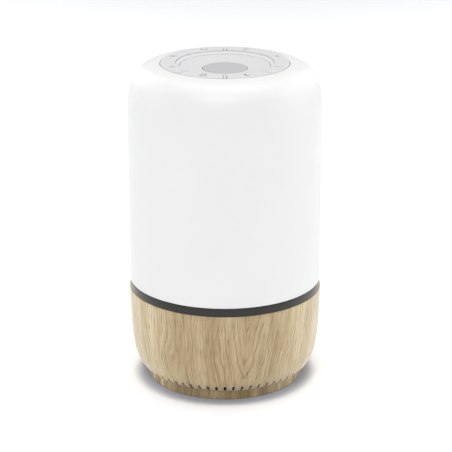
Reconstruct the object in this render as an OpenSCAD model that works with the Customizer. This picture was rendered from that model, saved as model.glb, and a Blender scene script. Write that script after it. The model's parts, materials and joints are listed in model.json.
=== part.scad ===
// Smart speaker with a lit opal shade, a round control panel in its top and an oak base.
// The origin is on the floor under the body's axis. +Z is up and -Y is the front.

/* [Body] */
// Outer diameter of the opal shade
body_d = 125; // [110:1:150]
// Height of the shade above the dark band
shade_h = 143.9; // [118:0.1:175]
// Wall of the shade
shade_wall = 2.2; // [1.6:0.1:3]
// Height of the dark band between shade and base
band_h = 5.6; // [4.4:0.1:7]
// Height of the oak base between foot ring and band
base_h = 56; // [53:0.5:70]
// Height of the foot ring under the base
foot_h = 6.2; // [5.2:0.1:7.6]

/* [Control panel] */
// Radius of the key ring as a share of the shade's radius
panel_ratio = 0.659; // [0.55:0.001:0.68]
// Radial width of the keys
key_w = 9.6; // [8.6:0.1:10.6]
// Thickness of the keys' caps
key_t = 2.4; // [1.8:0.1:2.8]
// Height of the keys' faces above the shade's edge
key_proud = 0.5; // [0.2:0.1:1]
// Extra height of the two side rockers over the four push keys
rocker_proud = 0.2; // [0:0.05:0.4]
// Gap between one key and the next
key_gap = 0.35; // [0.3:0.05:0.5]
// Width of the fixed strip between two push keys
bridge_w = 1.8; // [1.4:0.1:2.4]
// Radius of the centre button
button_r = 14.2; // [12:0.1:15]
// Depth of the centre button's face under the keys' faces
button_depth = 4; // [3.6:0.1:4.4]
// Travel of a push key
key_travel = 0.6; // [0.3:0.1:0.8]
// Travel of the centre button
button_travel = 0.8; // [0.4:0.1:1]

/* [Light] */
// Radius of the frosted sleeve round the lamp post
sleeve_r = 34; // [30:0.5:37]
// Circumscribed radius of the six-sided lamp post
post_r = 12; // [11:0.5:14]
// Lamps on each of the six strips
lamps_per_strip = 9; // [5:1:11]

/* [Sound] */
// Number of upright sound slots round the base
slot_count = 62; // [40:1:64]
// Width of a sound slot
slot_w = 1.3; // [0.9:0.1:1.6]
// Height of a sound slot
slot_h = 4.2; // [2.6:0.1:4.6]
// Radius of the driver's mounting flange
driver_r = 30; // [27:0.5:36]
// Travel of the driver's cone each way
cone_travel = 1.5; // [0.5:0.1:2]

/* [Power inlet] */
// Height of the inlet's centre above the floor
inlet_z = 33; // [30:0.5:37]
// Width of the recess for a power plug
inlet_w = 14; // [13:0.5:16]
// Height of the recess for a power plug
inlet_h = 8; // [7:0.5:9]

/* [Hidden] */
$fn = 128;
cut = 1;
shade_r = body_d / 2;
z_band = foot_h + base_h;
z_shade = z_band + band_h;
z_edge = z_shade + shade_h;
z_top = z_edge + key_proud;

// Outer outlines are chains of arcs that follow on from each other smoothly. Each entry is
// [radius, angle of the outward normal where the arc ends], from the bottom upwards.
shade_arcs = [[0.804 * shade_r, 20.6], [0.235 * shade_r, 80]];
shade_dome_slope = 10;
base_arcs = [[0.138 * shade_r, -30], [0.58 * shade_r, -10], [1.9 * shade_r, -2]];
base_start_angle = -60;
base_taper = 2;
base_lip = 0.054 * shade_r;
foot_r = 0.8 * shade_r;
band_r = shade_r - 0.2;

// Control panel
panel_r = panel_ratio * shade_r;
opening_r = panel_r + 0.4;
key_inner_r = panel_r - key_w;
key_mid_r = (panel_r + key_inner_r) / 2;
bevel_out_r = key_inner_r - 0.3;
bevel_in_r = bevel_out_r - 2;
dish_out_r = bevel_in_r - 0.3;
dish_in_r = button_r + 0.35;
dish_sphere_r = 172;
dish_edge_depth = 2.2;
dish_under = 5.7;
frame_t = 2;
frame_drop = 6.5;
z_frame = z_top - frame_drop;
frame_r = panel_r + 5;
shade_land = 4.4;
z_land = z_edge - shade_land;
well_r = button_r + 2.4;
well_depth = frame_t + 1.2 + button_travel;
dome_h = 4 * key_travel;
z_board_top = z_frame - frame_t - dome_h - 2.5;
board_t = 1.6;
board_r = panel_r - 0.5;
z_dome_top = z_board_top + dome_h;
stem_r = 2;
stem_clear = 0.3;
button_stem_r = 3;
pin_r = 1.2;
pin_clear = 0.07;
z_pin = z_frame + 1.9;
ear_t = 1.6;
ear_w = 5;
ear_h = z_pin + pin_r + 0.5 - z_frame;
ear_in_x = key_inner_r + 1.1;
ear_out_x = panel_r - 3.2;
guide_r = 1.3;
rocker_angle = 1.5;
rocker_cap_angle = 22.5;
rocker_stem_gap = 0.14 + key_mid_r * sin(rocker_cap_angle) * sin(rocker_angle);

// Lamp post and shade interior
tray_t = 2;
z_tray = z_board_top - board_t - 2;
tray_floor = z_tray - tray_t;
deck_t = 3;
deck_r = band_r - 3.6;
z_deck_top = z_band + deck_t;
post_bore_r = 8;
strip_w = 8;
strip_t = 1.2;

// Base interior
base_in_r = shade_r - 3.5;
shelf_in_r = 0.856 * shade_r;
baffle_r = 0.896 * shade_r;
z_baffle = foot_h + 10.3;
baffle_t = 2.5;
cover_flange_r = foot_r - 2.7;
cover_plug_r = foot_r - 6.5;
cover_t = 2;
cover_recess = 1.2;
pad_proud = 0.5;
z_gasket = z_baffle + baffle_t;
gasket_t = 0.6;
z_flange = z_gasket + gasket_t;
flange_t = 2.4;
magnet_r = 18;
coil_r = 7.5;
coil_overlap = 4.5;
z_magnet = z_flange + 15;
magnet_h = 13;
cup_r = driver_r + 4;
cup_wall = 2;
z_cup_top = z_magnet + magnet_h + 4;
z_main_board = z_cup_top + 2.2;
screw_count = 4;
screw_ring_r = 38;
inlet_face_y = base_in_r - 2;

opal = [0.96, 0.96, 0.95];
panel_grey = [0.88, 0.88, 0.88];
button_grey = [0.8, 0.8, 0.81];
charcoal = [0.2, 0.2, 0.21];
oak = [0.78, 0.66, 0.5];
rubber_black = [0.12, 0.12, 0.12];
steel = [0.7, 0.71, 0.73];
aluminium = [0.8, 0.81, 0.82];
board_green = [0.1, 0.35, 0.22];
silicone = [0.75, 0.78, 0.8];
frosted = [0.93, 0.94, 0.95];
copper = [0.72, 0.45, 0.25];
paper_black = [0.15, 0.15, 0.16];

// Unit normal at angle a above the horizontal, in the [radius, height] plane.
function normal(a) = [cos(a), sin(a)];

// Corner points of a chain of arcs that starts at point p with normal angle a.
function chain(p, a, arcs, i = 0) =
    i == len(arcs)
        ? [p]
        : let (q = p + arcs[i][0] * (normal(arcs[i][1]) - normal(a)))
            concat([p], chain(q, arcs[i][1], arcs, i + 1));

// Height and inward run of the shade's arcs, and of the flatter dome that ends at the panel.
shade_run = chain([0, 0], 0, shade_arcs);
shade_dome_r = shade_r + shade_run[2][0];
shade_dome_h = (shade_dome_r - opening_r) * tan(shade_dome_slope);
z_shoulder = z_edge - shade_dome_h - shade_run[2][1];
shade_pts = chain([shade_r, z_shoulder], 0, shade_arcs);

// The base's outline starts on the seam with the foot and leaves it at a slant.
base_lip_end = [foot_r, foot_h] + base_lip * [cos(90 + base_start_angle), sin(90 + base_start_angle)];
base_pts = chain(base_lip_end, base_start_angle, base_arcs);
base_top_r = base_pts[3][0] + (z_band - base_pts[3][1]) * tan(base_taper);

// The bulge between the chord p-q and its arc, with a little of the inside for a sound union.
module arc_cap(p, q, a0, a1, r) {
    outside = 4;
    inside = 3;
    middle = (p + q) / 2 - inside * normal((a0 + a1) / 2);
    intersection() {
        translate(p - r * normal(a0)) circle(r = r);
        polygon([p, p + outside * normal(a0), q + outside * normal(a1), q, middle]);
    }
}

// All bulges of a chain. grow moves every arc outwards, or inwards when negative.
module arc_caps(points, a, arcs, grow = 0) {
    for (i = [0:len(arcs) - 1]) {
        a0 = i == 0 ? a : arcs[i - 1][1];
        a1 = arcs[i][1];
        arc_cap(points[i] + grow * normal(a0), points[i + 1] + grow * normal(a1), a0, a1, arcs[i][0] + grow);
    }
}

// Turns its children to azimuth az, counted from the front (-Y) towards +X.
module at_azimuth(az) {
    rotate([0, 0, az]) children();
}

// A cylinder from height z0 to z1.
module drum(r, z0, z1) {
    translate([0, 0, z0]) cylinder(r = r, h = z1 - z0);
}

// A ring from height z0 to z1.
module ring(r_out, r_in, z0, z1) {
    difference() {
        drum(r_out, z0, z1);
        drum(r_in, z0 - cut, z1 + cut);
    }
}

// A round stem at azimuth az and radius r.
module stem(az, r, stem_radius, z0, z1) {
    at_azimuth(az) translate([0, -r, 0]) drum(stem_radius, z0, z1);
}

// A wedge of the space between two azimuths.
module wedge(az0, az1, z0, z1) {
    reach = shade_r;
    mid = (az0 + az1) / 2;
    translate([0, 0, z0])
        linear_extrude(height = z1 - z0)
            polygon([
                [0, 0],
                reach * [sin(az0), -cos(az0)],
                reach * 1.2 * [sin(mid), -cos(mid)],
                reach * [sin(az1), -cos(az1)]
            ]);
}

// A thin upright slab along the radius at azimuth az.
module radial_slab(az, width, z0, z1) {
    at_azimuth(az) translate([-width / 2, -shade_r, z0]) cube([width, shade_r, z1 - z0]);
}

// A bar along Y with round ends, width w and height h over all, from y0 to y1.
module stadium(w, h, y0, y1) {
    translate([0, y1, 0])
        rotate([90, 0, 0])
            linear_extrude(height = y1 - y0)
                union() {
                    square([w - h, h], center = true);
                    translate([(w - h) / 2, 0]) circle(d = h);
                    translate([-(w - h) / 2, 0]) circle(d = h);
                }
}

// ---- Outside ----

// Solid outline of the shade; inset moves its surface inwards.
module shade_body(inset) {
    rotate_extrude()
        union() {
            polygon([
                [0, z_shade],
                [shade_r - inset, z_shade],
                shade_pts[0] - inset * normal(0),
                shade_pts[1] - inset * normal(shade_arcs[0][1]),
                shade_pts[2] - inset * normal(shade_arcs[1][1]),
                [opening_r, z_edge - inset],
                [0, z_edge - inset]
            ]);
            arc_caps(shade_pts, 0, shade_arcs, -inset);
        }
}

module opal_shade() {
    color(opal)
        difference() {
            shade_body(0);
            intersection() {
                shade_body(shade_wall);
                drum(shade_r, z_shade, z_land);
            }
            drum(shade_r - shade_wall, z_shade - cut, z_shade + cut);
            drum(opening_r, z_land - cut, z_edge + cut);
        }
}

module trim_band() {
    collar_out_r = shade_r - shade_wall - 0.1;
    collar_t = 1.6;
    collar_h = 4;
    color(charcoal)
        union() {
            ring(band_r, deck_r, z_band, z_shade);
            ring(collar_out_r, collar_out_r - collar_t, z_shade - cut, z_shade + collar_h);
        }
}

module base_body() {
    rotate_extrude()
        union() {
            polygon([
                [0, foot_h],
                [foot_r, foot_h],
                base_pts[0],
                base_pts[1],
                base_pts[2],
                base_pts[3],
                [base_top_r, z_band],
                [0, z_band]
            ]);
            arc_caps(base_pts, base_start_angle, base_arcs);
        }
}

module base_hollow() {
    neck_h = 5;
    rotate_extrude()
        polygon([
            [0, foot_h - cut],
            [cover_flange_r, foot_h - cut],
            [cover_flange_r, foot_h + cover_t],
            [shelf_in_r, z_baffle - 3],
            [shelf_in_r, z_baffle],
            [baffle_r, z_baffle],
            [baffle_r, z_baffle + baffle_t],
            [base_in_r - 1.3, z_baffle + 8],
            [base_in_r, z_baffle + 17],
            [base_in_r, z_band - neck_h - 1.5],
            [deck_r - 1.2, z_band - neck_h],
            [deck_r - 1.2, z_band + cut],
            [0, z_band + cut]
        ]);
}

module base_shell() {
    slot_z = foot_h + 1.2;
    boss_w = inlet_w + 6;
    boss_h = inlet_h + 5;
    color(oak)
        difference() {
            union() {
                difference() {
                    base_body();
                    base_hollow();
                }
                intersection() {
                    translate([-boss_w / 2, inlet_face_y, inlet_z - boss_h / 2]) cube([boss_w, 5, boss_h]);
                    drum(base_in_r + 1, z_baffle, z_band);
                }
            }
            translate([0, 0, inlet_z]) stadium(inlet_w, inlet_h, inlet_face_y - cut, shade_r + 2);
            for (i = [0:slot_count - 1])
                at_azimuth(i * 360 / slot_count)
                    translate([-slot_w / 2, -foot_r - 9, slot_z])
                        cube([slot_w, 13, slot_h]);
        }
}

module foot_ring() {
    color(oak)
        difference() {
            ring(foot_r - 0.4, cover_plug_r, pad_proud, foot_h);
            ring(foot_r - 1.7, foot_r - 5.7, pad_proud - cut, pad_proud + 0.8);
        }
}

module rubber_pad() {
    color(rubber_black) ring(foot_r - 1.7, foot_r - 5.7, 0, pad_proud + 0.8);
}

// Repeats its children on the ring of the bottom cover's screws.
module on_screws() {
    for (i = [0:screw_count - 1])
        at_azimuth(45 + i * 360 / screw_count) translate([0, -screw_ring_r, 0]) children();
}

module bottom_cover() {
    color(charcoal)
        difference() {
            union() {
                drum(cover_plug_r, cover_recess, foot_h);
                drum(cover_flange_r, foot_h, foot_h + cover_t);
            }
            on_screws() drum(3.2, cover_recess - cut, cover_recess + 2.6);
            on_screws() drum(1.5, 0, foot_h + cover_t + cut);
        }
}

module cover_screws() {
    color(steel)
        on_screws()
            difference() {
                union() {
                    drum(2.9, cover_recess + 0.4, cover_recess + 2.6);
                    drum(1.5, cover_recess + 2, foot_h + cover_t + 4);
                }
                translate([0, 0, cover_recess]) cylinder(r = 1.3, h = 1.6, $fn = 6);
            }
}

// ---- Control panel ----

module control_frame() {
    rim_w = 2.5;
    post_drop = z_frame - frame_t - z_board_top;
    color(charcoal)
        difference() {
            union() {
                drum(frame_r, z_frame - frame_t, z_frame);
                ring(frame_r, frame_r - rim_w, z_frame - frame_t, z_land);
                drum(well_r, z_frame - well_depth, z_frame);
                ring(dish_out_r - 0.5, dish_out_r - 2.5, z_frame, z_top - dish_under);
                ring(well_r, dish_in_r + 0.7, z_frame - frame_t, z_top - dish_under);
                for (az = [0, 90, 180, 270])
                    stem(az, key_mid_r, 3, z_frame - frame_t - post_drop, z_frame - cut);
            }
            drum(button_r + 0.6, z_frame - well_depth + frame_t, z_frame + 3 * cut);
            drum(button_stem_r + stem_clear, z_frame - well_depth - cut, z_frame);
            for (az = [-rocker_cap_angle, rocker_cap_angle, 180 - rocker_cap_angle, 180 + rocker_cap_angle])
                key_stem_holes(az);
            for (az = [90 - rocker_cap_angle, 90 + rocker_cap_angle, 270 - rocker_cap_angle, 270 + rocker_cap_angle])
                stem(az, key_mid_r, stem_r + 0.6, z_frame - frame_t - cut, z_frame + cut);
        }
}

// The fixed strips at the front and back that part the push keys.
module bridge_strips() {
    color(panel_grey)
        for (az = [0, 180])
            intersection() {
                radial_slab(az, bridge_w, z_frame, z_top - 0.15);
                ring(panel_r, key_inner_r + 0.1, z_frame, z_top);
            }
}

// Four upright ears that hold the ends of the rockers' pins.
module pivot_ears() {
    color(charcoal)
        for (side = [-1, 1])
            for (x = [ear_in_x, ear_out_x])
                difference() {
                    translate([side > 0 ? x : -x - ear_t, -ear_w / 2, z_frame]) cube([ear_t, ear_w, ear_h]);
                    rocker_pin_bar(side, pin_r);
                }
}

// Holes in the control frame for one push key's plunger and its two guide pins.
module key_stem_holes(az) {
    stem(az, key_mid_r, stem_r + stem_clear, z_frame - frame_t - cut, z_frame + cut);
    for (d = [-11, 11])
        stem(az + d, key_mid_r, guide_r + stem_clear, z_frame - frame_t - cut, z_frame + cut);
}

// The bar of a rocker's pin, along the X axis, on the left (-1) or right (1).
module rocker_pin_bar(side, r) {
    x1 = ear_out_x + ear_t;
    translate([side > 0 ? ear_in_x : -x1, 0, z_pin]) rotate([0, 90, 0]) cylinder(r = r, h = x1 - ear_in_x);
}

// A ring of key caps before it is cut into keys: rounded outside edge, small chamfer inside.
module key_cap_ring(top) {
    edge = 0.8;
    lip = 0.3;
    skirt_t = 0.9;
    skirt_h = 1.3;
    low = z_top - key_t;
    rotate_extrude()
        union() {
            polygon([
                [key_inner_r, low],
                [panel_r, low],
                [panel_r, top - edge],
                [panel_r - edge, top - edge],
                [panel_r - edge, top],
                [key_inner_r + lip, top],
                [key_inner_r, top - lip]
            ]);
            translate([panel_r - edge, top - edge]) circle(r = edge);
            translate([key_inner_r, low - skirt_h]) square([skirt_t * 0.65, skirt_h + cut]);
            translate([panel_r - skirt_t, low - skirt_h]) square([skirt_t, skirt_h + cut]);
        }
}

// A push key whose middle is at azimuth az.
module push_key(az) {
    edge_step = rocker_cap_angle;
    color(panel_grey)
        union() {
            difference() {
                intersection() {
                    key_cap_ring(z_top);
                    wedge(az - edge_step, az + edge_step, z_frame, z_top + cut);
                }
                radial_slab(az - edge_step, slab_width(az - edge_step), z_frame, z_top + cut);
                radial_slab(az + edge_step, slab_width(az + edge_step), z_frame, z_top + cut);
            }
            stem(az, key_mid_r, stem_r, z_dome_top, z_top - key_t + cut);
            for (d = [-11, 11])
                stem(az + d, key_mid_r, guide_r, z_frame - frame_t - 1, z_top - key_t + cut);
        }
}

// The slab cut at a key's end: wide beside a fixed strip at the front or back, thin elsewhere.
function slab_width(az) = abs(sin(az)) < 0.1 ? bridge_w + 2 * key_gap : key_gap;

// A side rocker: side -1 is the left (light) and 1 is the right (volume).
module rocker(side) {
    az = side * 90;
    hub_x = ear_in_x + ear_t + 0.3;
    hub_l = ear_out_x - 0.3 - hub_x;
    hub_w = 4.4;
    hub_low = z_pin - pin_r - 0.4;
    color(panel_grey)
        difference() {
            union() {
                difference() {
                    intersection() {
                        key_cap_ring(z_top + rocker_proud);
                        wedge(az - 45, az + 45, z_frame, z_top + 2 * cut);
                    }
                    for (d = [-45, 45]) radial_slab(az + d, key_gap, z_frame, z_top + 2 * cut);
                }
                for (d = [-rocker_cap_angle, rocker_cap_angle])
                    stem(az + d, key_mid_r, stem_r, z_dome_top + rocker_stem_gap, z_top - key_t + cut);
                translate([side > 0 ? hub_x : -hub_x - hub_l, -hub_w / 2, hub_low])
                    cube([hub_l, hub_w, z_top - key_t + cut - hub_low]);
            }
            rocker_pin_bar(side, pin_r + pin_clear);
        }
}

module rocker_pin(side) {
    color(steel) rocker_pin_bar(side, pin_r);
}

module bevel_ring() {
    foot_depth = 0.8;
    inner_depth = 2;
    color(panel_grey)
        rotate_extrude()
            polygon([
                [bevel_in_r, z_frame],
                [bevel_out_r, z_frame],
                [bevel_out_r, z_top - foot_depth],
                [bevel_in_r, z_top - inner_depth]
            ]);
}

module dish_plate() {
    sphere_z = z_top - dish_edge_depth + sqrt(dish_sphere_r * dish_sphere_r - dish_out_r * dish_out_r);
    color(panel_grey)
        difference() {
            ring(dish_out_r, dish_in_r, z_top - dish_under, z_top - dish_edge_depth);
            translate([0, 0, sphere_z]) sphere(r = dish_sphere_r, $fn = 480);
        }
}

module centre_button() {
    cap_t = 1.6;
    face = z_top - button_depth;
    edge = 0.4;
    color(button_grey)
        union() {
            rotate_extrude()
                union() {
                    polygon([
                        [0, face - cap_t],
                        [button_r, face - cap_t],
                        [button_r, face - edge],
                        [button_r - edge, face - edge],
                        [button_r - edge, face],
                        [0, face]
                    ]);
                    translate([button_r - edge, face - edge]) circle(r = edge);
                }
            drum(button_stem_r, z_dome_top, face - cap_t + cut / 2);
        }
}

// A hollow silicone dome that pushes a key back up.
module dome(az, r) {
    foot = 3.4;
    head = 1.9;
    skin = 0.5;
    color(silicone)
        at_azimuth(az)
            translate([0, -r, z_board_top])
                rotate_extrude()
                    polygon([
                        [foot - 2 * skin, 0],
                        [foot, 0],
                        [foot, skin],
                        [head + skin, dome_h - skin],
                        [head, dome_h],
                        [0, dome_h],
                        [0, dome_h - 2 * skin],
                        [head - skin, dome_h - 2 * skin]
                    ]);
}

module control_board() {
    color(board_green) ring(board_r, 6, z_board_top - board_t, z_board_top);
}

// Four small switches under the rockers' stems.
module rocker_switches() {
    body = 6;
    body_h = 1.6;
    color(paper_black)
        for (az = [90 - rocker_cap_angle, 90 + rocker_cap_angle, 270 - rocker_cap_angle, 270 + rocker_cap_angle])
            union() {
                at_azimuth(az)
                    translate([-body / 2, -key_mid_r - body / 2, z_board_top])
                        cube([body, body, body_h]);
                stem(az, key_mid_r, 1.5, z_board_top, z_dome_top);
            }
}

// ---- Light ----

module top_tray() {
    rim_w = 2;
    hub_h = 5;
    color(frosted)
        difference() {
            union() {
                drum(frame_r, tray_floor, z_tray);
                ring(frame_r, frame_r - rim_w, tray_floor, z_frame - frame_t);
                drum(post_r + 3, tray_floor - hub_h, tray_floor);
                for (az = [45, 135, 225, 315])
                    stem(az, key_mid_r, 2.5, tray_floor + cut, z_board_top - board_t);
            }
            translate([0, 0, tray_floor - hub_h - cut]) cylinder(r = post_r, h = hub_h + cut, $fn = 6);
            drum(post_bore_r, tray_floor - cut, z_tray + cut);
        }
}

module light_post() {
    color(aluminium)
        difference() {
            translate([0, 0, z_deck_top]) cylinder(r = post_r, h = tray_floor - z_deck_top, $fn = 6);
            drum(post_bore_r, z_deck_top - cut, tray_floor + cut);
        }
}

// Distance from the axis to a flat of the post, and the heights of the lamp strips.
post_flat = post_r * cos(30);
z_strip = z_deck_top + 6;
strip_h = tray_floor - 5 - 4 - z_strip;

module led_strips() {
    color(board_green)
        for (i = [0:5])
            rotate([0, 0, 30 + 60 * i])
                translate([post_flat, -strip_w / 2, z_strip])
                    cube([strip_t, strip_w, strip_h]);
}

module led_packages() {
    lamp = 3.4;
    lamp_t = 1;
    pitch = strip_h / lamps_per_strip;
    color(frosted)
        for (i = [0:5])
            rotate([0, 0, 30 + 60 * i])
                for (k = [0:lamps_per_strip - 1])
                    translate([post_flat + strip_t, -lamp / 2, z_strip + (k + 0.5) * pitch - lamp / 2])
                        cube([lamp_t, lamp, lamp]);
}

module inner_diffuser() {
    color(frosted) ring(sleeve_r, sleeve_r - 1.6, z_deck_top, tray_floor);
}

module reflector_disc() {
    rise = 2.4;
    skin = 0.8;
    color(opal)
        rotate_extrude()
            polygon([
                [sleeve_r + 0.4, z_deck_top],
                [deck_r - 0.5, z_deck_top],
                [deck_r - 0.5, z_deck_top + rise],
                [sleeve_r + 0.4, z_deck_top + skin]
            ]);
}

module mid_deck() {
    standoff_r = 3;
    board_top = z_main_board + board_t;
    color(charcoal)
        difference() {
            union() {
                drum(deck_r, z_band, z_deck_top);
                for (az = [45, 135, 225, 315])
                    stem(az, 42, standoff_r, board_top, z_band + cut);
            }
            drum(post_bore_r, z_band - cut, z_deck_top + cut);
        }
}

// ---- Sound ----

module baffle_plate() {
    color(paper_black)
        difference() {
            union() {
                drum(baffle_r, z_baffle, z_baffle + baffle_t);
                on_screws() drum(4, foot_h + cover_t, z_baffle + cut);
            }
            drum(driver_r - 4, z_baffle - cut, z_baffle + baffle_t + cut);
            on_screws() drum(1.5, foot_h + cover_t - cut, foot_h + cover_t + 4);
        }
}

module driver_gasket() {
    color(rubber_black) ring(driver_r, driver_r - 4, z_gasket, z_flange);
}

module driver_frame() {
    skin = 1.5;
    basket_r = driver_r - 4;
    window = 9;
    top_plate = 2;
    color(steel)
        difference() {
            union() {
                ring(driver_r, basket_r, z_flange, z_flange + flange_t);
                rotate_extrude()
                    polygon([
                        [basket_r, z_flange],
                        [basket_r + skin, z_flange + flange_t],
                        [magnet_r, z_magnet],
                        [coil_r + 1.5, z_magnet],
                        [coil_r + 1.5, z_magnet - top_plate],
                        [magnet_r - skin, z_magnet - top_plate],
                        [basket_r, z_flange + flange_t]
                    ]);
            }
            for (i = [0:5])
                at_azimuth(i * 60)
                    translate([-window / 2, -driver_r, z_flange + flange_t + 1.5])
                        cube([window, driver_r - coil_r - 8, 7]);
        }
}

module driver_magnet() {
    plate_t = 3;
    gap_in_r = coil_r - 1.2;
    gap_out_r = coil_r + 0.5;
    color(steel)
        difference() {
            union() {
                drum(magnet_r - 2, z_magnet, z_magnet + magnet_h);
                drum(magnet_r, z_magnet + plate_t, z_magnet + magnet_h - plate_t);
            }
            ring(gap_out_r, gap_in_r, z_magnet - cut, z_magnet + magnet_h - plate_t);
        }
}

// The moving cone is a thin shell from the surround in to the voice coil.
cone_out_r = driver_r - 8;
z_cone = z_flange + 1.5;
cone_h = 8;

module driver_cone() {
    skin = 0.8;
    color(paper_black)
        rotate_extrude()
            polygon([
                [coil_r, z_cone + cone_h],
                [cone_out_r, z_cone],
                [cone_out_r, z_cone + skin],
                [coil_r, z_cone + cone_h + skin]
            ]);
}

module dust_cap() {
    cap_r = coil_r + 1.5;
    curve_r = 12;
    skin = 0.6;
    rim_z = z_cone + cone_h * (cone_out_r - cap_r) / (cone_out_r - coil_r) - 1;
    centre_z = rim_z + sqrt(curve_r * curve_r - cap_r * cap_r);
    color(paper_black)
        intersection() {
            difference() {
                translate([0, 0, centre_z]) sphere(r = curve_r);
                translate([0, 0, centre_z]) sphere(r = curve_r - skin);
            }
            drum(cap_r, rim_z - curve_r, rim_z);
        }
}

module voice_coil() {
    color(copper) ring(coil_r, coil_r - 0.7, z_cone + cone_h, z_magnet + coil_overlap + cone_travel);
}

module surround() {
    roll_r = 2;
    skin = 0.5;
    color(rubber_black)
        rotate_extrude()
            union() {
                difference() {
                    translate([cone_out_r + roll_r, z_cone]) circle(r = roll_r);
                    translate([cone_out_r + roll_r, z_cone]) circle(r = roll_r - skin);
                    translate([0, z_cone]) square([driver_r, driver_r]);
                }
            }
}

module spider() {
    color(copper) ring(magnet_r - 1, coil_r, z_magnet - 3.4, z_magnet - 2.8);
}

module acoustic_cup() {
    color(paper_black)
        difference() {
            drum(cup_r, z_gasket, z_cup_top);
            drum(cup_r - cup_wall, z_gasket - cut, z_cup_top - cup_wall);
        }
}

module sound_deflector() {
    floor_z = foot_h + cover_t;
    color(paper_black)
        rotate_extrude()
            polygon([
                [0, floor_z],
                [22, floor_z],
                [22, floor_z + 0.8],
                [10, floor_z + 3],
                [4, floor_z + 5.6],
                [1.5, floor_z + 6.6],
                [0, floor_z + 6.8]
            ]);
}

// ---- Electronics ----

module main_board() {
    color(board_green) ring(48, 6, z_main_board, z_main_board + board_t);
}

module board_parts() {
    top = z_main_board + board_t;
    color(paper_black)
        union() {
            translate([-22, -30, top]) cube([14, 14, 1.4]);
            translate([-2, -28, top]) cube([9, 11, 1.1]);
            translate([12, -30, top]) cube([6, 6, 2.2]);
            translate([22, -22, top]) cube([5, 5, 2.2]);
            translate([-30, -6, top]) cube([6, 10, 1.2]);
            for (i = [0:3]) translate([26 + 4 * (i % 2), 4 + 7 * floor(i / 2), top]) cube([2, 3.4, 1.2]);
        }
}

module wireless_shield() {
    color(aluminium) translate([-10, 16, z_main_board + board_t]) cube([20, 16, 2.4]);
}

// The insert behind the recess: a flat flange with the plug's slot through it.
plug_w = 9.2;
plug_h = 3.4;
panel_t = 2;

module inlet_panel() {
    color(charcoal)
        translate([0, 0, inlet_z])
            difference() {
                translate([-inlet_w / 2 - 2, inlet_face_y - panel_t, -inlet_h / 2 - 2])
                    cube([inlet_w + 4, panel_t, inlet_h + 4]);
                stadium(plug_w, plug_h, inlet_face_y - panel_t - cut, inlet_face_y + cut);
            }
}

module power_inlet() {
    shell_t = 0.4;
    depth = 7;
    back = inlet_face_y - panel_t;
    color(steel)
        translate([0, 0, inlet_z])
            union() {
                difference() {
                    stadium(plug_w + 2 * shell_t, plug_h + 2 * shell_t, back - depth, back);
                    stadium(plug_w, plug_h, back - depth + 1, back + cut);
                }
                translate([-3.3, back - depth + cut / 2, -0.35]) cube([6.6, depth - 1, 0.7]);
            }
}

module ribbon_cable() {
    color(copper)
        translate([-3, -0.3, z_main_board + board_t])
            cube([6, 0.6, z_board_top - board_t - z_main_board - board_t]);
}

opal_shade();
trim_band();
base_shell();
foot_ring();
rubber_pad();
bottom_cover();
cover_screws();
control_frame();
bevel_ring();
dish_plate();
centre_button();
push_key(-rocker_cap_angle);  // key_front_left
push_key(rocker_cap_angle);  // key_front_right
push_key(180 + rocker_cap_angle);  // key_back_left
push_key(180 - rocker_cap_angle);  // key_back_right
bridge_strips();
rocker(-1);  // rocker_light
rocker(1);  // rocker_volume
rocker_pin(-1);  // pin_light
rocker_pin(1);  // pin_volume
pivot_ears();
control_board();
rocker_switches();
dome(-rocker_cap_angle, key_mid_r);  // dome_front_left
dome(rocker_cap_angle, key_mid_r);  // dome_front_right
dome(180 + rocker_cap_angle, key_mid_r);  // dome_back_left
dome(180 - rocker_cap_angle, key_mid_r);  // dome_back_right
dome(0, 0);  // dome_centre
top_tray();
light_post();
led_strips();
led_packages();
inner_diffuser();
reflector_disc();
mid_deck();
baffle_plate();
driver_gasket();
driver_frame();
driver_magnet();
driver_cone();
dust_cap();
voice_coil();
surround();
spider();
acoustic_cup();
sound_deflector();
main_board();
board_parts();
wireless_shield();
inlet_panel();
power_inlet();
ribbon_cable();
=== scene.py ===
"""Smart speaker with an opal lit shade, a ring of keys in its top and a base in light oak.

The moulded and turned pieces that show are modelled here, around the fixed CAD frame. Lengths
are in millimetres in the code and turned to metres where they go into Blender.
"""
import json
import math

import bpy
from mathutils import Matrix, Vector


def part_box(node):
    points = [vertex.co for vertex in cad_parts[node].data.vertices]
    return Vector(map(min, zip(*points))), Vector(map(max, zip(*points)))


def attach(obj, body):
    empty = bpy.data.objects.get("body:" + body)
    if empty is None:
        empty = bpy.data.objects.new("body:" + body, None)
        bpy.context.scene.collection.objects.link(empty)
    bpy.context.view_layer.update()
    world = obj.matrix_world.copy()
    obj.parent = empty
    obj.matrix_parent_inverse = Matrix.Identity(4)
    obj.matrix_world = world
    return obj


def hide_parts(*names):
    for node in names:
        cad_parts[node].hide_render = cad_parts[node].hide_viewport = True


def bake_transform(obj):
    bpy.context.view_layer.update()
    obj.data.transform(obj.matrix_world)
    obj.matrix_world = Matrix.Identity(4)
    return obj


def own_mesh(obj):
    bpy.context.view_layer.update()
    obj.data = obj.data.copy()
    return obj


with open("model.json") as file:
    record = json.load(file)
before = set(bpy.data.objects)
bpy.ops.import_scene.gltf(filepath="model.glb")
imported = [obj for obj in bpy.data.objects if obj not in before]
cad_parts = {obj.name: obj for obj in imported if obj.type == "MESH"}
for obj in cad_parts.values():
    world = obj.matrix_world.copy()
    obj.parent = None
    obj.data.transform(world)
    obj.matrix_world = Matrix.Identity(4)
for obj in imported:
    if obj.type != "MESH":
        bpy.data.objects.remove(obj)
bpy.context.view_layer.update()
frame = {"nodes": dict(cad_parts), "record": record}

MM = 0.001
TURN_STEPS = 160

# ---- Sizes, in mm ----

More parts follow.
